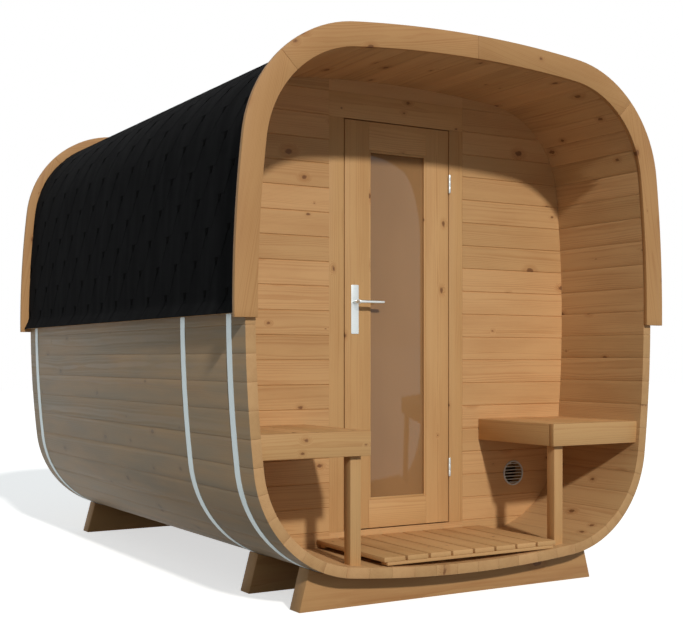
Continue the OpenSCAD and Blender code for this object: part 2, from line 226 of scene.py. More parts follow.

# %% [markdown]
# ## Pine
# Planed pine shows pale early wood with thin darker late-wood lines, fine fibres, a few
# knots that push the rings aside, and boards that differ from each other. One node group
# works all that out from the grain coordinates, and each material sets its own colours.
# The outside of the staves is greyed: their finish blends towards grey in patches wherever the
# mesh is marked as outside.


# %% Node helpers
def srgb(r, g, b):
    """A colour as it is seen, turned into the linear values that shaders use."""
    return tuple((c / 255 / 12.92) if c < 11 else ((c / 255 + 0.055) / 1.055) ** 2.4
                 for c in (r, g, b)) + (1.0,)


class Wiring:
    """Adds nodes to a tree and joins them up."""

    def __init__(self, tree):
        self.tree = tree

    def add(self, kind, inputs=None, **settings):
        node = self.tree.nodes.new(kind)
        for name, value in settings.items():
            setattr(node, name, value)
        for name, value in (inputs or {}).items():
            socket = node.inputs[name]
            if isinstance(value, bpy.types.NodeSocket):
                self.tree.links.new(value, socket)
            else:
                socket.default_value = value
        return node

    def math(self, operation, a, b=0.0, clamp=False):
        return self.add("ShaderNodeMath", {0: a, 1: b}, operation=operation,
                        use_clamp=clamp).outputs[0]

    def stretch(self, vector, factors):
        return self.add("ShaderNodeVectorMath", {0: vector, 1: factors},
                        operation="MULTIPLY").outputs[0]

    def noise(self, vector, scale, detail=2.0, rough=0.5):
        return self.add("ShaderNodeTexNoise", {"Vector": vector, "Scale": scale,
                                               "Detail": detail, "Roughness": rough}).outputs["Fac"]

    def ramp(self, value, low, high, out_low=0.0, out_high=1.0):
        node = self.add("ShaderNodeMapRange", {"Value": value, "From Min": low, "From Max": high,
                                               "To Min": out_low, "To Max": out_high},
                        interpolation_type="SMOOTHSTEP")
        return node.outputs["Result"]

    def mix(self, factor, a, b, kind="MIX"):
        node = self.add("ShaderNodeMix", data_type="RGBA", blend_type=kind)
        for socket, value in ((node.inputs[0], factor), (node.inputs[6], a), (node.inputs[7], b)):
            if isinstance(value, bpy.types.NodeSocket):
                self.tree.links.new(value, socket)
            else:
                socket.default_value = value
        return node.outputs[2]


def new_group(name, inputs, outputs):
    """A shader node group with named sockets; returns its wiring and its two ends."""
    tree = bpy.data.node_groups.new(name, "ShaderNodeTree")
    for socket, kind in inputs:
        tree.interface.new_socket(socket, in_out="INPUT", socket_type=kind)
    for socket, kind in outputs:
        tree.interface.new_socket(socket, in_out="OUTPUT", socket_type=kind)
    wiring = Wiring(tree)
    return wiring, wiring.add("NodeGroupInput"), wiring.add("NodeGroupOutput")


# %% The pine group
KNOT_CELL = (0.30, 0.10, 1.0)   # room for one knot: along the fibres and across them
KNOT_LONG = 0.62     # knots are drawn out along the fibres by the inverse of this
KNOT_RARE = 0.58     # share of the cells that have no knot
KNOT_GROWTH = 0.034  # radius for each unit of chance above that
KNOT_RAGGED = 0.013  # spread of the noise that makes a knot's edge uneven
KNOT_EDGE = 0.006    # softness of the edge
KNOT_DEPTH = 0.8     # how far a knot takes its own colour
HALO = 2.6           # reach of the disturbed wood, in knot radii
HALO_SOFT = 0.018
HALO_PUSH = 0.016    # how far a knot pushes the rings aside
HALO_TINT = 0.42
RING = 0.0052        # width of a year's growth


def make_pine_group():
    """Colour, height and roughness of planed pine, from grain coordinates and a shade."""
    w, start, end = new_group(
        "planed pine",
        [("Grain", "NodeSocketVector"), ("Shade", "NodeSocketFloat"), ("Knots", "NodeSocketFloat"),
         ("Pale", "NodeSocketColor"), ("Late", "NodeSocketColor"), ("Knot", "NodeSocketColor")],
        [("Color", "NodeSocketColor"), ("Height", "NodeSocketFloat"),
         ("Roughness", "NodeSocketFloat")])
    grain = start.outputs["Grain"]
    part = w.add("ShaderNodeSeparateXYZ", {0: grain}).outputs

    cells = w.stretch(grain, tuple(1 / c for c in KNOT_CELL))
    flat = w.stretch(cells, (1, 1, 0))
    spot = w.add("ShaderNodeTexVoronoi", {"Vector": flat, "Scale": 1.0, "Randomness": 0.9},
                 voronoi_dimensions="2D")
    away = w.add("ShaderNodeVectorMath", {0: spot.outputs["Position"], 1: flat},
                 operation="SUBTRACT").outputs[0]
    metres = w.stretch(away, (KNOT_CELL[0] * KNOT_LONG, KNOT_CELL[1], KNOT_CELL[2]))
    distance = w.add("ShaderNodeVectorMath", {0: metres}, operation="LENGTH").outputs["Value"]
    chance = w.add("ShaderNodeSeparateColor", {0: spot.outputs["Color"]}).outputs
    size = w.math("MULTIPLY", w.math("SUBTRACT", chance[0], KNOT_RARE, clamp=True), KNOT_GROWTH)
    size = w.math("MULTIPLY", size, start.outputs["Knots"])
    rough_edge = w.math("MULTIPLY", w.math("SUBTRACT", w.noise(grain, 65), 0.5), KNOT_RAGGED)
    ragged = w.math("ADD", distance, rough_edge)
    knot = w.ramp(w.math("SUBTRACT", size, ragged), 0.0, KNOT_EDGE)
    halo = w.ramp(w.math("SUBTRACT", w.math("MULTIPLY", size, HALO), distance), 0.0, HALO_SOFT)

    slow = w.noise(w.stretch(grain, (1.1, 5, 5)), 1.0, 2.0)
    slow = w.math("MULTIPLY", w.math("SUBTRACT", slow, 0.5), 0.05)
    fine = w.noise(w.stretch(grain, (3, 22, 22)), 1.0, 2.0)
    fine = w.math("MULTIPLY", w.math("SUBTRACT", fine, 0.5), 0.006)
    across = w.math("ADD", part[1], slow)
    radius = w.math("SQRT", w.math("ADD", w.math("POWER", across, 2.0),
                                   w.math("POWER", w.math("ADD", part[2], fine), 2.0)))
    radius = w.math("ADD", radius, w.math("MULTIPLY", halo, HALO_PUSH))
    turns = w.math("FRACT", w.math("DIVIDE", radius, RING))
    late = w.math("MULTIPLY", w.ramp(turns, 0.25, 0.88), w.ramp(turns, 1.0, 0.93))

    fibre = w.noise(w.stretch(grain, (14, 620, 620)), 1.0, 3.0, 0.6)
    streak = w.noise(w.stretch(grain, (1.5, 60, 60)), 1.0, 2.0)
    blotch = w.noise(w.stretch(grain, (2.5, 9, 9)), 1.0, 1.0)

    amount = w.math("MULTIPLY", late, w.ramp(streak, 0.25, 0.75, 0.14, 0.55))
    amount = w.math("ADD", amount, w.math("MULTIPLY", w.math("SUBTRACT", fibre, 0.5), 0.55))
    amount = w.math("ADD", amount, w.math("MULTIPLY", w.math("SUBTRACT", blotch, 0.5), 0.95))
    amount = w.math("ADD", amount, w.math("MULTIPLY", halo, HALO_TINT), clamp=True)
    wood = w.mix(amount, start.outputs["Pale"], start.outputs["Late"])
    level = w.ramp(start.outputs["Shade"], 0.0, 1.0, 1.05, 0.9)
    tone = w.add("ShaderNodeCombineColor", {0: level, 1: level, 2: w.math("POWER", level, 1.25)})
    wood = w.mix(1.0, wood, tone.outputs[0], "MULTIPLY")
    wood = w.mix(w.math("MULTIPLY", knot, KNOT_DEPTH), wood, start.outputs["Knot"])

    height = w.math("ADD", w.math("MULTIPLY", late, 0.5), w.math("MULTIPLY", fibre, 0.6))
    height = w.math("SUBTRACT", height, w.math("MULTIPLY", knot, 0.4))
    w.tree.links.new(wood, end.inputs["Color"])
    w.tree.links.new(height, end.inputs["Height"])
    w.tree.links.new(w.ramp(late, 0.0, 1.0, 0.62, 0.5), end.inputs["Roughness"])
    return w.tree


pine_group = make_pine_group()
print(pine_group.name, "group,", len(pine_group.nodes), "nodes")


# %% Wood materials
def pine(name, pale, late, knot, knots=1.0, bump=0.25, grey=None):
    """A planed pine finish with its own colours; grey is what outside faces blend towards."""
    material = bpy.data.materials.new(name)
    material.use_nodes = True
    w = Wiring(material.node_tree)
    shader = material.node_tree.nodes["Principled BSDF"]
    grain = w.add("ShaderNodeAttribute", attribute_name="grain").outputs["Vector"]
    shade = w.add("ShaderNodeAttribute", attribute_name="shade").outputs["Fac"]
    group = w.add("ShaderNodeGroup", node_tree=pine_group)
    for socket, value in (("Grain", grain), ("Shade", shade)):
        w.tree.links.new(value, group.inputs[socket])
    for socket, value in (("Pale", pale), ("Late", late), ("Knot", knot), ("Knots", knots)):
        group.inputs[socket].default_value = value
    relief = w.add("ShaderNodeBump", {"Strength": bump, "Distance": 0.0008,
                                      "Height": group.outputs["Height"]})
    colour = group.outputs["Color"]
    if grey:
        outside = w.add("ShaderNodeAttribute", attribute_name="outside").outputs["Fac"]
        patchy = w.ramp(w.noise(w.stretch(grain, (2.2, 14, 14)), 1.0, 3.0), 0.2, 0.8, 0.45, 0.85)
        colour = w.mix(w.math("MULTIPLY", outside, patchy), colour, grey)
    w.tree.links.new(colour, shader.inputs["Base Color"])
    w.tree.links.new(group.outputs["Roughness"], shader.inputs["Roughness"])
    w.tree.links.new(relief.outputs["Normal"], shader.inputs["Normal"])
    shader.inputs["Specular IOR Level"].default_value = 0.3
    return material


KNOT_BROWN = srgb(104, 62, 34)
stave_pine = pine("stave pine", srgb(200, 158, 110), srgb(168, 120, 76), KNOT_BROWN, 1.0,
                  grey=srgb(146, 134, 114))
wall_pine = pine("wall pine", srgb(206, 162, 112), srgb(176, 124, 76), KNOT_BROWN, 1.1)
arch_pine = pine("arch pine", srgb(190, 144, 94), srgb(164, 112, 65), KNOT_BROWN, 1.0)
frame_pine = pine("joinery pine", srgb(208, 164, 112), srgb(182, 130, 80), KNOT_BROWN, 0.8)
cradle_pine = pine("cradle pine", srgb(196, 150, 100), srgb(168, 114, 66), KNOT_BROWN, 1.3)
print("finishes:", [m.name for m in (stave_pine, wall_pine, arch_pine, frame_pine, cradle_pine)])

# %% [markdown]
# ## The rounded-square section
# Every curved piece follows the same outline: four slightly bulged sides joined by four
# tighter corners. A Curve modifier could bend flat work round it, but the outline is made of
# exact arcs, so a short function that lays flat work on them is truer. Flat work has its
# distance round the girth on X, its length on Y and its height off the staves on Z.

# %% Outline sizes
BULGE = 5.3
CORNER = 0.47
stave_low, stave_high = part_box("left_wall_staves")
HALF_W = -stave_low.x
FLOOR_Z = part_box("floor_staves")[0].z
TOP_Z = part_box("ceiling_staves")[1].z
HALF_H = (TOP_Z - FLOOR_Z) / 2
MID_Z = (TOP_Z + FLOOR_Z) / 2
FRONT, REAR = stave_low.y, stave_high.y
WALL_PLAY = 0.0003     # between an end wall and the staves round it
STAVE = HALF_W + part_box("rear_wall")[0].x - WALL_PLAY

side_c, top_c = HALF_W - BULGE, HALF_H - BULGE
span = math.hypot(side_c, top_c)
rise = math.sqrt((BULGE - CORNER) ** 2 - span ** 2 / 4)
corner_x = side_c / 2 + rise * abs(top_c) / span
corner_z = top_c / 2 + rise * abs(side_c) / span
side_a = math.atan2(corner_z, corner_x - side_c)
top_a = math.atan2(corner_x, corner_z - top_c)
turn_a = math.pi / 2 - side_a - top_a

# Runs going up the left side, over the top, down the right and back under the floor:
# centre, radius, first angle and angle swept.
RUNS = [
    (-side_c, 0, BULGE, math.pi, side_a),
    (-corner_x, corner_z, CORNER, math.pi - side_a, turn_a),
    (0, top_c, BULGE, math.pi / 2 + top_a, 2 * top_a),
    (corner_x, corner_z, CORNER, math.pi / 2 - top_a, turn_a),
    (side_c, 0, BULGE, side_a, 2 * side_a),
    (corner_x, -corner_z, CORNER, -side_a, turn_a),
    (0, -top_c, BULGE, top_a - math.pi / 2, 2 * top_a),
    (-corner_x, -corner_z, CORNER, -math.pi / 2 - top_a, turn_a),
    (-side_c, 0, BULGE, side_a - math.pi, side_a),
]
ENDS = np.cumsum([radius * sweep for _, _, radius, _, sweep in RUNS])
GIRTH = float(ENDS[-1])
OVER = float(ENDS[1] + BULGE * top_a)
print("girth", round(GIRTH, 3), "m; from the middle of a side to the ridge", round(OVER, 3), "m")


# %% Laying flat work on the section
def on_section(along, height):
    """Points (x, z) at distances round the girth and heights off the staves' outer face."""
    along = np.mod(along, GIRTH)
    run = np.minimum(np.searchsorted(ENDS, along, side="right"), len(RUNS) - 1)
    cx, cz, radius, first, _ = np.array(RUNS).T[:, run]
    before = np.concatenate([[0.0], ENDS])[run]
    angle = first - (along - before) / radius
    return cx + (radius + height) * np.cos(angle), MID_Z + cz + (radius + height) * np.sin(angle)


def wrap(piece, kick=None):
    """Bends a flat piece round the section; kick adds height as a function of the girth."""
    points = np.array([v.co for v in piece.data.vertices])
    height = points[:, 2] + (kick(points[:, 0]) if kick else 0)
    x, z = on_section(points[:, 0], height)
    points[:, 0], points[:, 2] = x, z
    piece.data.vertices.foreach_set("co", points.ravel())
    piece.data.update()
    return piece


def slice_across(piece, cuts):
    """Cuts a flat strip across its girth so that it can bend."""
    only(piece)
    bpy.ops.object.mode_set(mode="EDIT")
    bpy.ops.mesh.select_mode(type="EDGE")
    bpy.ops.mesh.select_all(action="DESELECT")
    bpy.ops.object.mode_set(mode="OBJECT")
    mesh = piece.data
    for edge in mesh.edges:
        a, b = (mesh.vertices[i].co for i in edge.vertices)
        edge.select = abs((a - b).normalized().x) > 0.99
    bpy.ops.object.mode_set(mode="EDIT")
    bpy.ops.mesh.subdivide(number_cuts=cuts)
    bpy.ops.object.mode_set(mode="OBJECT")
    return piece


def copy_piece(piece):
    """A copy with a mesh of its own."""
    twin = piece.copy()
    twin.data = piece.data.copy()
    bpy.context.scene.collection.objects.link(twin)
    return twin


# %% [markdown]
# ## The staves
# The body is a ring of long tongue-and-groove staves, each with its long edges taken off, so
# that a V shows at every joint, inside and out. One flat stave is modelled, copied once for
# each place round the girth, given a log of its own, and laid on the section. The outer
# faces are marked while the stave is still flat, where up is simply out.

# %% Make the staves
STAVE_COUNT = 69
stave_pitch = GIRTH / STAVE_COUNT
SEAM_DOWN = 0.070  # a seam lies this far below the middle of the left side
STAVE_EASE = 0.0018


def mark_outside(piece):
    """Marks the outer faces of a flat stave."""
    mesh = piece.data
    mesh.attributes.new("outside", "FLOAT", "CORNER")
    marks = np.zeros(len(mesh.loops), np.float32)
    for face in mesh.polygons:
        if face.center.z > -STAVE / 2 and face.normal.z > 0.5:
            marks[list(face.loop_indices)] = 1
    mesh.attributes["outside"].data.foreach_set("value", marks)


stave = bar((0, FRONT, -STAVE), (stave_pitch, REAR, 0), edge=0)
slice_across(stave, 4)
ease(stave, STAVE_EASE)

STAVE_NODES = ["left_wall_staves", "upper_left_corner_staves", "ceiling_staves",
               "upper_right_corner_staves", "right_wall_staves", "lower_right_corner_staves",
               "floor_staves", "lower_left_corner_staves", "left_wall_staves"]
sides = {}
for i in range(STAVE_COUNT):
    one = copy_piece(stave)
    lay_grain(one, Y, X)
    first = i * stave_pitch - SEAM_DOWN
    one.data.transform(Matrix.Translation((first, 0, 0)))
    mark_outside(one)
    middle = (first + stave_pitch / 2) % GIRTH
    wrap(one)
    sides.setdefault(STAVE_NODES[int(np.searchsorted(ENDS, middle, side="right"))], []).append(one)
bpy.data.objects.remove(stave)
for node, group in sides.items():
    keep(joined(node, group), node.replace("_staves", "_boards"), "sauna", "stave_pine",
         stave_pine, node)
print(STAVE_COUNT, "staves of", round(stave_pitch * 1000, 1), "mm")

# %% [markdown]
# ## The plank walls
# The end walls are level planks with a V at each joint. Making each plank and trimming it to
# the curve would take many cuts; instead the whole wall is copied from the frame and the Vs
# are cut into both faces with one boolean. Each face then takes the grain of its plank.

# %% Cut the wall joints
PLANK = 0.1043
PLANK_TOP = 1.994   # one joint's height
VEE = 0.0035        # depth of a joint's V, and half its width at the face
HALF_SIDE = VEE / 1.414   # of the square cutter, which stands on its edge and reaches VEE
PAST = 0.05         # how far a cutter runs past the wall
EDGE_CLEAR = 0.006  # no joint is cut nearer than this to a wall's edge
plank_logs = {}


def plank_wall(node):
    """A wall of level planks, copied from its node and grooved on both faces."""
    wall = copy_of(node)
    low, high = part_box(node)
    count = math.ceil((PLANK_TOP - low.z) / PLANK)
    cutters = []
    for k in range(-2, count + 1):
        z = PLANK_TOP - k * PLANK
        if not low.z + EDGE_CLEAR < z < high.z - EDGE_CLEAR:
            continue
        for y in (low.y, high.y):
            cutters.append(bar((low.x - PAST, y - HALF_SIDE, z - HALF_SIDE),
                               (high.x + PAST, y + HALF_SIDE, z + HALF_SIDE), edge=0,
                               turn=(math.pi / 4, 0, 0)))
    if cutters:
        cutter = joined("cutter", cutters)
        apply_modifier(wall, "BOOLEAN", operation="DIFFERENCE", solver="EXACT", object=cutter)
        bpy.data.objects.remove(cutter)
    mesh = wall.data
    points = corners_of(wall)
    grain = np.empty_like(points)
    shade = np.empty(len(points))
    for face in mesh.polygons:
        number = math.floor((PLANK_TOP - face.center.z) / PLANK)
        side = (node, number)
        if side not in plank_logs:
            plank_logs[side] = (log_place(), dice.random())
        log, tint = plank_logs[side]
        rows = list(face.loop_indices)
        middle = (0, PLANK_TOP - (number + 0.5) * PLANK, (low.y + high.y) / 2)
        grain[rows] = points[rows][:, [0, 2, 1]] - np.array(middle) + log
        shade[rows] = tint
    write_grain(wall, grain, shade)
    return wall


for node in ("front_wall_left", "front_wall_right", "front_wall_top", "rear_wall"):
    keep(plank_wall(node), node + "_planks", "sauna", "board_pine", wall_pine, node, smooth=20)

# %% [markdown]
# ## Joinery from plain boards
# The door, its frame, the benches and the duckboard are straight sawn boards. Each solid of
# such a node becomes one bar with eased edges and its own log.


# %% Boards from the frame's solids
def boards_for(node, name, body, along, wide, edge=SAWN_EDGE):
    """One eased board for every solid of a node, joined as one piece."""
    made = [board(low, high, along, wide, edge) for low, high in place_of(node)]
    return keep(joined(name, made), name, body, "board_pine", frame_pine, node)


boards_for("left_bench_slats", "left_bench_boards", "sauna", Y, X, ROUND_EDGE)
boards_for("right_bench_slats", "right_bench_boards", "sauna", Y, X, ROUND_EDGE)
boards_for("left_bench_post", "left_bench_leg", "sauna", Z, X, SOFT_EDGE)
boards_for("right_bench_post", "right_bench_leg", "sauna", Z, X, SOFT_EDGE)
boards_for("duckboard_slats", "duckboard_boards", "sauna", Y, X, ROUND_EDGE)
boards_for("duckboard_battens", "duckboard_cross_battens", "sauna", X, Y)
boards_for("door_rails", "door_rail_boards", "door", X, Z, FINE_EDGE)
boards_for("door_stiles", "door_stile_boards", "door", Z, X, FINE_EDGE)
boards_for("upper_room_bearers", "upper_bearer_boards", "sauna", X, Z)
boards_for("lower_room_bearers", "lower_bearer_boards", "sauna", X, Z)

# %% [markdown]
# ## Door frame
# Each post is a plain face board with a stop nailed behind the leaf. The head board sits
# between the planks, and the sill under the leaf is planked like the walls.

# %% Posts, head and sill
STOP = 0.015   # how far a stop stands into the doorway
STOP_T = 0.018
TUCK = 0.002   # the head's stop runs this far up into the head board
leaf_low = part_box("door_stiles")[0]
for node, inner in (("frame_left_post", 1), ("frame_right_post", -1)):
    low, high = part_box(node)
    split_x = high.x - STOP if inner > 0 else low.x + STOP
    face = [low.x, split_x] if inner > 0 else [split_x, high.x]
    post = board((face[0], low.y, low.z), (face[1], high.y, high.z), Z, X, FINE_EDGE)
    stop_x = [split_x - STOP, high.x] if inner > 0 else [low.x, split_x + STOP]
    stop = board((stop_x[0], high.y - STOP_T, low.z), (stop_x[1], high.y, high.z), Z, Y, FINE_EDGE)
    keep(joined(node, [post, stop]), node + "_board", "sauna", "board_pine", frame_pine, node)

low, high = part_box("frame_head")
head_z = low.z + STOP
head = board((low.x, low.y, head_z), (high.x, high.y, high.z), X, Z, FINE_EDGE)
left_x, right_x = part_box("frame_left_post")[1].x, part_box("frame_right_post")[0].x
head_stop = board((left_x, high.y - STOP_T, low.z), (right_x, high.y, head_z + TUCK), X, Z, FINE_EDGE)
keep(joined("head", [head, head_stop]), "frame_head_board", "sauna", "board_pine", frame_pine,
     "frame_head")
keep(plank_wall("door_sill"), "door_sill_planks", "sauna", "board_pine", wall_pine, "door_sill",
     smooth=20)

# %% [markdown]
# ## Bench frames and room benches
# A porch bench has a board facing out, a long board facing the sitter's legs, and ledgers on
# the walls. The room benches are slats behind a front board. The frame holds each as one
# solid, so their boards are laid out again from its box and the boards' thickness.

# %% Bench frames
BENCH_T = 0.028
LEDGE = 0.048
SLAT_T = 0.022


def rail(x0, x1, y0, y1, z0, z1, along, wide):
    """A bench board whose two sides may be given in either order."""
    return board((min(x0, x1), y0, z0), (max(x0, x1), y1, z1), along, wide, SOFT_EDGE)


for side, sign in (("left", -1), ("right", 1)):
    low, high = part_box(side + "_bench_frame")
    inner = high.x if sign < 0 else low.x
    outer = low.x if sign < 0 else high.x
    beam = inner + sign * BENCH_T
    parts = [
        rail(inner, beam, low.y + BENCH_T, high.y, low.z, high.z, Y, Z),
        rail(inner, outer, low.y, low.y + BENCH_T, low.z, high.z, X, Z),
        rail(beam, outer, high.y - BENCH_T, high.y, low.z, high.z - SLAT_T, X, Z),
        rail(beam + sign * LEDGE, outer, low.y + BENCH_T, low.y + 2 * BENCH_T, low.z,
             high.z - SLAT_T, X, Z)]
    keep(joined(side, parts), side + "_bench_rails", "sauna", "board_pine", frame_pine,
         side + "_bench_frame")

# %% Room benches
ROOM_SLATS = 4
ROOM_GAP = 0.010
for node in ("upper_room_bench", "lower_room_bench"):
    low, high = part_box(node)
    pitch = (high.x - low.x - BENCH_T) / ROOM_SLATS
    parts = [board((low.x, low.y, low.z), (low.x + BENCH_T, high.y, high.z), Y, Z, SOFT_EDGE)]
    for i in range(ROOM_SLATS):
        x0 = low.x + BENCH_T + ROOM_GAP + i * pitch
        x1 = low.x + BENCH_T + (i + 1) * pitch
        parts.append(board((x0, low.y, high.z - SLAT_T), (x1, high.y, high.z), Y, X, ROUND_EDGE))
    keep(joined(node, parts), node + "_boards", "sauna", "board_pine", frame_pine, node)

# %% [markdown]
# ## Cradles
# Three short beams with leaning ends, hollowed on top to the body's curve. Their shape is
# right in the frame, so each is copied, its edges are eased, and it gets its grain.

# %% Ease the cradles
cradles = copy_of("cradles")
ease(cradles, ROUND_EDGE)
lay_grain(cradles, X, Z)
keep(cradles, "cradle_beams", "sauna", "cradle_pine", cradle_pine, "cradles")

# %% [markdown]
# ## Arch boards
# Each end of the roof is trimmed by an arch sawn from wide planks, butted end to end. The
# grain runs straight in each length while the outline curves, as sawn curves always show.
# Each length is a flat strip with eased edges, laid on the section.

# %% Saw the arches
arch_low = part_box("front_arch")[0]
ARCH_OUT = -arch_low.x - HALF_W
ARCH_STEP = 0.03   # an arch is bent in steps of about this length
ARCH_JOINTS = [0.93, 1.82]   # joints, measured round the girth from the middle of the left side
foot = -(MID_Z - arch_low.z)
joints = [foot, *ARCH_JOINTS, 2 * OVER - ARCH_JOINTS[0], 2 * OVER - foot]


def arch(node, name):
    """One arch of butted lengths."""
    low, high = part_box(node)
    lengths = []
    for a, b in zip(joints, joints[1:]):
        piece = bar((a, low.y, -STAVE), (b, high.y, ARCH_OUT), edge=0)
        slice_across(piece, max(6, int((b - a) / ARCH_STEP)))
        ease(piece, SAWN_EDGE)
        wrap(piece)
        (x0, x1), (z0, z1) = on_section(np.array([a, b]), np.array([0.0, 0.0]))
        chord = Vector((x1 - x0, 0, z1 - z0)).normalized()
        lay_grain(piece, chord, Vector((chord.z, 0, -chord.x)))
        lengths.append(piece)
    return keep(joined(name, lengths), name, "sauna", "board_pine", arch_pine, node)


arch("front_arch", "front_arch_boards")
arch("rear_arch", "rear_arch_boards")

# %% [markdown]
# ## Roof shingles
# The roof is laid in courses of thin bitumen shingles with six-sided tabs, each course half
# a tab along from the last. One tab is a flat sheet narrowed towards its lower edge, with a
# small near-black patch at the notch beside it, painted shade for the slot between the tabs;
# rows of copies are laid on the section. What crosses an edge of the roof is trimmed piece
# by piece: one cut through all the joined tabs would fill them with long stray faces.

# %% Roof materials
SPOT = 0.5   # share of light spots among the mineral grains


def bitumen(name, dark, light, rough):
    """Mineral-faced bitumen: a dark sheet with fine grains of two greys."""
    material = bpy.data.materials.new(name)
    material.use_nodes = True
    w = Wiring(material.node_tree)
    shader = material.node_tree.nodes["Principled BSDF"]
    place = w.add("ShaderNodeTexCoord").outputs["Object"]
    grit = w.noise(place, 900, 2.0, 0.7)
    patch = w.noise(w.stretch(place, (6, 14, 2.5)), 1.0, 3.0)
    amount = w.math("ADD", w.ramp(grit, 0.35, 0.8, 0.0, SPOT), w.ramp(patch, 0.3, 0.8, 0.0, 0.5))
    w.tree.links.new(w.mix(amount, dark, light), shader.inputs["Base Color"])
    relief = w.add("ShaderNodeBump", {"Strength": 0.5, "Distance": 0.001, "Height": grit})
    w.tree.links.new(relief.outputs["Normal"], shader.inputs["Normal"])
    w.tree.links.new(w.ramp(grit, 0.3, 0.7, rough - 0.05, rough + 0.05), shader.inputs["Roughness"])
    shader.inputs["Specular IOR Level"].default_value = 0.02
    return material


shingle_black = bitumen("shingle black", srgb(20, 20, 21), srgb(40, 40, 41), 0.93)
# Near-black patches at the notches: painted shade for the slots between the tabs.
notch_shade_black = bitumen("painted notch shade", srgb(1, 1, 1), srgb(4, 4, 4), 0.9)
print("roof finishes:", shingle_black.name, "and", notch_shade_black.name)

# %% Make one tab
TAB = 0.193
COURSE = 0.119
NOTCH_UP = 0.107     # the notch's height above the tab's lower edge
TAB_BOTTOM = 0.040   # half width of a tab's lower edge
SLOT = 0.0015        # half width of the slot between tabs
TAB_LONG = 0.160
TAB_T = 0.0009
TAB_LIFT = 0.0012
COVER = 0.0081       # outer face of the covering under the shingles
SHOULDER = 0.014     # from a notch up to where a tab is full width
DOT_HALF = 0.013     # half width of the painted shade patch at a notch
DOT_DOWN, DOT_UP = 0.013, 0.012
DOT_RAISED = 0.0026
DOT_TAPER = 0.45     # the patch's lower edge, as a share of its upper one


def tab_half(up):
    """Half width of a tab at a height above its lower edge."""
    if up > NOTCH_UP + SHOULDER:
        return TAB / 2
    share = min(1.0, up / NOTCH_UP)
    return TAB_BOTTOM + (TAB / 2 - SLOT - TAB_BOTTOM) * share


tab = bar((0, -1, 0), (TAB_LONG, 1, TAB_T), edge=0)
slice_across(tab, 7)
for vertex in tab.data.vertices:
    vertex.co.y *= tab_half(vertex.co.x)
    vertex.co.z += COVER + TAB_LIFT * (1 - vertex.co.x / TAB_LONG)
tab.data.materials.append(shingle_black)
# A near-black patch at the notch beside each tab: painted shade for the slot between tabs.
dot = bar((NOTCH_UP - DOT_DOWN, TAB / 2 - DOT_HALF, COVER),
          (NOTCH_UP + DOT_UP, TAB / 2 + DOT_HALF, COVER + DOT_RAISED), edge=0)
for vertex in dot.data.vertices:
    if vertex.co.x < NOTCH_UP:
        vertex.co.y = TAB / 2 + (vertex.co.y - TAB / 2) * DOT_TAPER
dot.data.materials.append(notch_shade_black)
print("tab", len(tab.data.polygons), "faces, painted shade patch", len(dot.data.polygons), "faces")

# %% Lay the courses
FIRST_NOTCH = 0.055   # lowest row of notches above the middle of the side
NOTCH_Y = FRONT + 0.134
eaves_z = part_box("eaves_battens")[0].z
FLARE_UP = 0.024      # where the flare starts, above the middle of the side
FLARE_DOWN = eaves_z - MID_Z
FLARE_OUT = 0.026


def flare(along):
    """The lowest shingles tilt outward over the eaves lath."""
    return FLARE_OUT * np.clip((FLARE_UP - along) / (FLARE_UP - FLARE_DOWN), 0, 1)


def trim(piece, point, normal):
    """Cuts a piece with a plane and drops what lies on the normal's side."""
    only(piece)
    bpy.ops.object.mode_set(mode="EDIT")
    bpy.ops.mesh.select_all(action="SELECT")
    bpy.ops.mesh.bisect(plane_co=point, plane_no=normal, use_fill=True, clear_outer=True)
    bpy.ops.object.mode_set(mode="OBJECT")


def trimmed(piece, planes):
    """Cuts a piece at each plane that it crosses; one that lies outside is dropped."""
    for point, normal in planes:
        reach = [(v.co - Vector(point)).dot(Vector(normal)) for v in piece.data.vertices]
        if min(reach) > -SLIVER:
            bpy.data.objects.remove(piece)
            return []
        if max(reach) > 0:
            trim(piece, point, normal)
    return [piece]


END_PLAY = 0.001      # shingles stop this far short of the staves' ends
EAVES_PLAY = 0.002    # and this far short of the eaves
SLIVER = 0.0005       # a piece that reaches no further in than this is dropped
COLUMNS = range(-1, 15)   # enough tabs to pass both ends, where the roof edges trim them
ROOF_EDGES = [((0, FRONT + END_PLAY, 0), (0, -1, 0)), ((0, REAR - END_PLAY, 0), (0, 1, 0)),
              ((FLARE_DOWN + EAVES_PLAY, 0, 0), (-1, 0, 0)), ((OVER, 0, 0), (1, 0, 0))]
rows = []
row = 0
while FIRST_NOTCH + row * COURSE - NOTCH_UP < OVER:
    start = NOTCH_Y - TAB / 2 + (TAB / 2 if row % 2 else 0)
    for i in COLUMNS:
        for pattern in (tab, dot):
            one = copy_piece(pattern)
            one.data.transform(Matrix.Translation((FIRST_NOTCH + row * COURSE - NOTCH_UP,
                                                   start + i * TAB, 0)))
            rows += trimmed(one, ROOF_EDGES)
    row += 1
bpy.data.objects.remove(tab)
bpy.data.objects.remove(dot)
shingles = joined("shingles", rows)
other = copy_piece(shingles)
wrap(shingles, flare)
wrap(other, flare)
other.data.transform(Matrix.Scale(-1, 4, X))
other.data.flip_normals()
keep(shingles, "left_roof_shingles", "sauna", "bitumen", None, smooth=25)
keep(other, "right_roof_shingles", "sauna", "bitumen", None, smooth=25)
print(row, "courses a side")

# %% [markdown]
# ## Ridge caps
# Where the two sides meet, caps bent over the ridge lap each other from front to back.

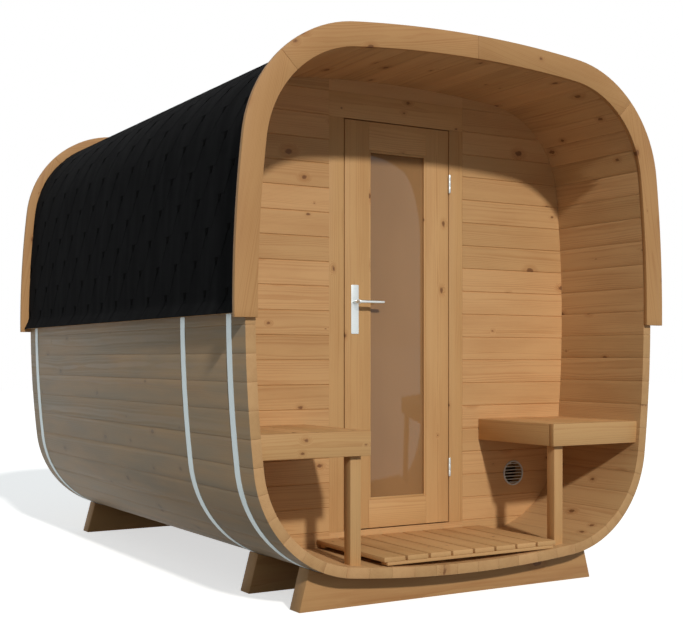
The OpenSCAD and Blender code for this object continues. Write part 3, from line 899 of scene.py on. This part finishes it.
# %% Lay the ridge caps
CAP_HALF = 0.10
CAP_LAP = 0.03       # how far a cap runs under the next
CAP_RAISED = 0.007   # a cap's underside above the covering
CAP_LIFT = 0.004     # how much higher its front edge is
CAP_START = 0.002    # the first cap starts this far back from the front
caps = []
cap = bar((-CAP_HALF, 0, 0), (CAP_HALF, TAB + CAP_LAP, TAB_T), edge=0)
slice_across(cap, 3)
for vertex in cap.data.vertices:
    vertex.co.z += COVER + CAP_RAISED + CAP_LIFT * (1 - vertex.co.y / (TAB + CAP_LAP))
count = math.ceil((REAR - FRONT) / TAB)
for i in range(count):
    one = copy_piece(cap)
    one.data.transform(Matrix.Translation((OVER, FRONT + CAP_START + i * TAB, 0)))
    caps += trimmed(one, ROOF_EDGES[:2])
bpy.data.objects.remove(cap)
caps = joined("caps", caps)
keep(wrap(caps), "ridge_caps", "sauna", "bitumen", shingle_black, smooth=25)

# %% [markdown]
# ## Metal and glass
# The straps, hinges and handle are satin steel with fine brushing; the vent is grey plastic.
# The pane is bronze-tinted glass, dark from outside, that shows a little of the room.


# %% Metal, plastic and glass
def satin(name, colour, rough, metallic, stretch):
    """A satin surface with fine streaks along one direction."""
    material = bpy.data.materials.new(name)
    material.use_nodes = True
    w = Wiring(material.node_tree)
    shader = material.node_tree.nodes["Principled BSDF"]
    place = w.add("ShaderNodeTexCoord").outputs["Object"]
    streak = w.noise(w.stretch(place, stretch), 1.0, 3.0)
    smear = w.noise(place, 7, 2.0)
    darker = tuple(c * 0.86 for c in colour[:3]) + (1.0,)
    tone = w.mix(w.ramp(w.math("ADD", w.math("MULTIPLY", streak, 0.5),
                               w.math("MULTIPLY", smear, 0.5)), 0.35, 0.65), darker, colour)
    w.tree.links.new(tone, shader.inputs["Base Color"])
    w.tree.links.new(w.ramp(smear, 0.3, 0.7, rough - 0.06, rough + 0.06),
                     shader.inputs["Roughness"])
    relief = w.add("ShaderNodeBump", {"Strength": 0.15, "Distance": 0.0003, "Height": streak})
    w.tree.links.new(relief.outputs["Normal"], shader.inputs["Normal"])
    shader.inputs["Metallic"].default_value = metallic
    return material


strap_steel = satin("strap steel", srgb(206, 218, 220), 0.45, 0.55, (40, 900, 40))
fitting_steel = satin("fitting steel", srgb(226, 232, 232), 0.32, 0.75, (40, 40, 900))
vent_grey = satin("vent grey", srgb(198, 203, 204), 0.5, 0.0, (60, 60, 60))

glass = bpy.data.materials.new("bronze glass")
glass.use_nodes = True
w = Wiring(glass.node_tree)
shader = glass.node_tree.nodes["Principled BSDF"]
place = w.add("ShaderNodeTexCoord").outputs["Object"]
haze = w.ramp(w.noise(w.stretch(place, (3, 3, 1.2)), 1.0, 2.0), 0.3, 0.7)
w.tree.links.new(w.mix(haze, srgb(176, 134, 90), srgb(190, 146, 100)), shader.inputs["Base Color"])
w.tree.links.new(w.ramp(haze, 0.0, 1.0, 0.03, 0.07), shader.inputs["Roughness"])
shader.inputs["Transmission Weight"].default_value = 0.35
shader.inputs["IOR"].default_value = 1.45
print("fittings:", [m.name for m in (strap_steel, fitting_steel, vent_grey, glass)])

# %% Straps, covering and laths keep the frame's shape
for node, material in (("steel_straps", strap_steel), ("roof_covering", shingle_black)):
    frame["nodes"][node].data.materials.clear()
    frame["nodes"][node].data.materials.append(material)
laths = copy_of("eaves_battens")
ease(laths, FINE_EDGE)
lay_grain(laths, Y, Z)
keep(laths, "eaves_laths", "sauna", "board_pine", stave_pine, "eaves_battens")

# %% [markdown]
# ## The pane
# The pane sits in a rebate between the stiles and rails, held by thin beads on both sides.

# %% Pane and beads
low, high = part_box("door_glass")
pane = bar(low, high, 0.0008)
keep(pane, "glass_pane", "door", "tinted_glass", glass, "door_glass")
BEAD = 0.010
BEAD_T = 0.012      # depth of the beads on the room's side of the pane
BEAD_BACK = 0.0015  # the outer beads lie this far behind the leaf's face
beads = []
for y0, y1 in ((leaf_low.y + BEAD_BACK, low.y), (high.y, high.y + BEAD_T)):
    for x in (low.x, high.x - BEAD):
        beads.append(board((x, y0, low.z), (x + BEAD, y1, high.z), Z, X, FINE_EDGE))
    for z in (low.z, high.z - BEAD):
        beads.append(board((low.x + BEAD, y0, z), (high.x - BEAD, y1, z + BEAD), X, Z, FINE_EDGE))
keep(joined("beads", beads), "glazing_beads", "door", "board_pine", frame_pine)

# %% [markdown]
# ## Hinges
# Each hinge is a pin with three knuckles, the middle one on the door, and a small cap at
# each end. Knuckles and caps alike are cylinders with eased rims, round the joint's axis.


# %% Make the hinges
def drum(x, y, z0, z1, radius, edge=0.0006):
    """An upright cylinder with eased rims."""
    bpy.ops.object.select_all(action="DESELECT")
    bpy.ops.mesh.primitive_cylinder_add(vertices=32, radius=radius, depth=z1 - z0,
                                        location=(x, y, (z0 + z1) / 2))
    bpy.ops.object.transform_apply(location=True, rotation=True, scale=True)
    piece = bpy.context.object
    ease(piece, edge)
    return piece


FLAP_T = 0.0018
KNUCKLE = 0.006
PIN = 0.003
CAP_R = 0.0045
CAP_EASE = 0.0015
CAP_OUT, CAP_IN = 0.003, 0.001   # how far a cap stands off the knuckle, and goes into it
KNUCKLE_PLAY = 0.0002
HALF_GAP = 0.0025   # from the pin's axis to the leaf's edge, and to the post's
joint_at = {joint["name"]: Vector(joint["pos_m"]) for joint in frame["joints"]}
axis_x, axis_y = joint_at["door_hinge"].xy
for node, body, name in (("hinge_door_halves", "door", "door_hinge_knuckles"),
                         ("hinge_frame_halves", "sauna", "frame_hinge_knuckles")):
    parts = []
    for low, high in place_of(node):
        if body == "door":
            parts.append(drum(axis_x, axis_y, low.z + KNUCKLE_PLAY, high.z - KNUCKLE_PLAY, KNUCKLE))
            parts.append(bar((axis_x - HALF_GAP, axis_y, low.z),
                             (axis_x - HALF_GAP + FLAP_T, high.y, high.z), 0.0003))
            continue
        third = (high.z - low.z) / 3
        for z0, z1 in ((low.z, low.z + third), (high.z - third, high.z)):
            parts.append(drum(axis_x, axis_y, z0, z1, KNUCKLE))
            parts.append(bar((axis_x + HALF_GAP - FLAP_T, axis_y, z0),
                             (axis_x + HALF_GAP, high.y, z1), 0.0003))
        parts.append(drum(axis_x, axis_y, low.z + third, high.z - third, PIN, 0.0002))
        for z0, z1 in ((low.z - CAP_OUT, low.z + CAP_IN), (high.z - CAP_IN, high.z + CAP_OUT)):
            parts.append(drum(axis_x, axis_y, z0, z1, CAP_R, CAP_EASE))
    keep(joined(name, parts), name, body, "steel", fitting_steel, node)

# %% [markdown]
# ## Handle
# A long plate on each face of the leaf, and a lever with a round neck. The plate starts as a
# bar whose four corners are rounded; the grip is a bar eased until it is nearly round, and
# narrowed at its free end.

# %% Plates
def round_corners(piece, radius):
    """Rounds the edges that run through a plate, from face to face."""
    only(piece)
    bpy.ops.object.mode_set(mode="EDIT")
    bpy.ops.mesh.select_mode(type="EDGE")
    bpy.ops.mesh.select_all(action="DESELECT")
    bpy.ops.object.mode_set(mode="OBJECT")
    mesh = piece.data
    for edge in mesh.edges:
        a, b = (mesh.vertices[i].co for i in edge.vertices)
        edge.select = abs((a - b).normalized().y) > 0.99
    bpy.ops.object.mode_set(mode="EDIT")
    bpy.ops.mesh.bevel(offset=radius, segments=5, affect="EDGES")
    bpy.ops.object.mode_set(mode="OBJECT")


PLATE_ROUND = 0.004
plates = []
for low, high in place_of("handle_plates"):
    plate = bar(low, high, 0)
    round_corners(plate, PLATE_ROUND)
    ease(plate, 0.0008)
    plates.append(plate)
keep(joined("plates", plates), "handle_backplates", "door", "steel", fitting_steel,
     "handle_plates")

# %% Lever
def level_drum(middle, length, radius, sides=32):
    """A cylinder that runs from front to back."""
    bpy.ops.object.select_all(action="DESELECT")
    bpy.ops.mesh.primitive_cylinder_add(vertices=sides, radius=radius, depth=length,
                                        location=middle, rotation=(math.pi / 2, 0, 0))
    bpy.ops.object.transform_apply(location=True, rotation=True, scale=True)
    return bpy.context.object


low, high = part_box("lever_handle")
LEVER_R = 0.009
GRIP_TALL = 0.0135
GRIP_TAPER = 0.22   # share of its thickness that a grip has lost at its free end
GRIP_EASE = 0.0048
SPINDLE_R = 0.0058
COLLAR_R = 0.0085
COLLAR_LONG = 0.036
COLLAR_IN = 0.022   # middle of a collar from the middle of its grip
neck_x = low.x + LEVER_R
lever_z = (low.z + high.z) / 2
parts = [level_drum((neck_x, (low.y + high.y) / 2, lever_z), high.y - low.y - 2 * LEVER_R,
                    SPINDLE_R)]
for y in (low.y + LEVER_R, high.y - LEVER_R):
    grip = bar((low.x, y - LEVER_R, lever_z - GRIP_TALL / 2),
               (high.x, y + LEVER_R, lever_z + GRIP_TALL / 2), edge=0)
    slice_across(grip, 3)
    for vertex in grip.data.vertices:
        share = 1 - GRIP_TAPER * (vertex.co.x - low.x) / (high.x - low.x)
        vertex.co.y = y + (vertex.co.y - y) * share
        vertex.co.z = lever_z + (vertex.co.z - lever_z) * share
    ease(grip, GRIP_EASE, segments=4)
    parts.append(grip)
    inward = 1 if y < (low.y + high.y) / 2 else -1
    collar = level_drum((neck_x, y + inward * COLLAR_IN, lever_z), COLLAR_LONG, COLLAR_R)
    ease(collar, 0.001)
    parts.append(collar)
keep(joined("lever", parts), "lever_grips", "lever", "steel", fitting_steel, "lever_handle")

# %% [markdown]
# ## Vent
# A round grille: a ring, made by inset and bridge on a short cylinder, with seven tilted
# louvres cut to length across it.

# %% Make the vent
low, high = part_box("vent_grille")
vent = (low + high) / 2
vent_r = (high.x - low.x) / 2
RIM = 0.007
ring = level_drum(vent, high.y - low.y, vent_r, sides=64)
bpy.ops.object.mode_set(mode="EDIT")
bpy.ops.mesh.select_mode(type="FACE")
bpy.ops.mesh.select_all(action="DESELECT")
bpy.ops.object.mode_set(mode="OBJECT")
for face in ring.data.polygons:
    face.select = abs(face.normal.y) > 0.9
bpy.ops.object.mode_set(mode="EDIT")
bpy.ops.mesh.inset(thickness=RIM)
bpy.ops.mesh.bridge_edge_loops()
bpy.ops.object.mode_set(mode="OBJECT")
ease(ring, 0.0012)
BARS = 7
LOUVRE_HALF = 0.0035    # half width of a louvre
LOUVRE_HALF_T = 0.0009  # half its thickness
LOUVRE_TILT = math.radians(-35)
LOUVRE_SEAT = 0.001     # how far a louvre's end goes into the ring
inner_r = vent_r - RIM
louvres = [ring]
for i in range(BARS):
    up = (i + 0.5) * 2 * inner_r / BARS - inner_r
    half = math.sqrt(inner_r ** 2 - up ** 2) + LOUVRE_SEAT
    louvres.append(bar((vent.x - half, vent.y - LOUVRE_HALF, vent.z + up - LOUVRE_HALF_T),
                       (vent.x + half, vent.y + LOUVRE_HALF, vent.z + up + LOUVRE_HALF_T), 0.0004,
                       turn=(LOUVRE_TILT, 0, 0)))
keep(joined("vent", louvres), "vent_ring", "sauna", "grey_plastic", vent_grey, "vent_grille")

# %% [markdown]
# ## Floor, light and camera
# The object stands alone on a white studio floor. One sun from in front and to the left gives
# the shade under the arch, and a pale sky fills the rest. To look white without lighting the
# object more, floor and sky tell apart rays that look at them from light that falls on things:
# only the first kind sees them bright.

# %% Floor
FLOOR_SIZE = 60
FLOOR_SEEN = (0.92, 0.92, 0.92, 1)    # the floor as it is looked at
FLOOR_LIGHT = (0.3, 0.3, 0.3, 1)      # the light it throws back on the object
FLOOR_GLOW = 0.62


def where_seen(w):
    """1 for a ray that looks, straight, through glass or in a reflection, and 0 for light."""
    ray = w.add("ShaderNodeLightPath").outputs
    seen = w.math("MAXIMUM", ray["Is Camera Ray"], ray["Is Transmission Ray"])
    return w.math("MAXIMUM", seen, ray["Is Glossy Ray"])


bpy.ops.object.select_all(action="DESELECT")
bpy.ops.mesh.primitive_plane_add(size=FLOOR_SIZE, location=(0, 0, 0))
floor = bpy.context.object
floor.name = "studio_floor"
paper = bpy.data.materials.new("white paper")
paper.use_nodes = True
paper_tree = Wiring(paper.node_tree)
paper_shader = paper.node_tree.nodes["Principled BSDF"]
paper_shader.inputs["Roughness"].default_value = 0.9
paper_shader.inputs["Specular IOR Level"].default_value = 0.0
seen = where_seen(paper_tree)
paper_tree.tree.links.new(paper_tree.mix(seen, FLOOR_LIGHT, FLOOR_SEEN),
                          paper_shader.inputs["Base Color"])
paper_shader.inputs["Emission Color"].default_value = (1, 1, 1, 1)
paper_tree.tree.links.new(paper_tree.math("MULTIPLY", seen, FLOOR_GLOW),
                          paper_shader.inputs["Emission Strength"])
floor.data.materials.append(paper)
print("floor", FLOOR_SIZE, "m square")

# %% Light
SUN_WAY = Vector((0.172, 1.0, -0.60))
sun = bpy.data.lights.new("sun", "SUN")
sun.energy = 2.1
sun.angle = math.radians(3)
sun.color = (1.0, 0.97, 0.92)
lamp = bpy.data.objects.new("sun", sun)
lamp.rotation_euler = SUN_WAY.to_track_quat("-Z", "Y").to_euler()
bpy.context.scene.collection.objects.link(lamp)

world = bpy.data.worlds.new("studio")
bpy.context.scene.world = world
world.use_nodes = True
wt = Wiring(world.node_tree)
wt.tree.nodes.clear()
soft = wt.add("ShaderNodeBackground", {"Color": (0.84, 0.96, 1.0, 1), "Strength": 0.25})
white = wt.add("ShaderNodeBackground", {"Color": (1, 1, 1, 1), "Strength": 1.0})
both = wt.add("ShaderNodeMixShader", {0: where_seen(wt), 1: soft.outputs[0], 2: white.outputs[0]})
wt.add("ShaderNodeOutputWorld", {0: both.outputs[0]})
print("sun", round(sun.energy, 2), "from", [round(-c, 2) for c in SUN_WAY])

# %% Camera
camera = bpy.data.cameras.new("camera")
camera.sensor_width = 36
camera.lens = 62.11
camera.shift_x = 0.0032
camera.shift_y = 0.0611
eye = bpy.data.objects.new("camera", camera)
eye.location = (-2.8661, -5.1172, 0.9553)
eye.rotation_euler = (math.radians(90), 0, math.radians(-30.82))
bpy.context.scene.collection.objects.link(eye)
bpy.context.scene.camera = eye
bpy.context.scene.view_settings.view_transform = "Standard"
print("camera", round(eye.location.length, 2), "m from the middle of the ground")
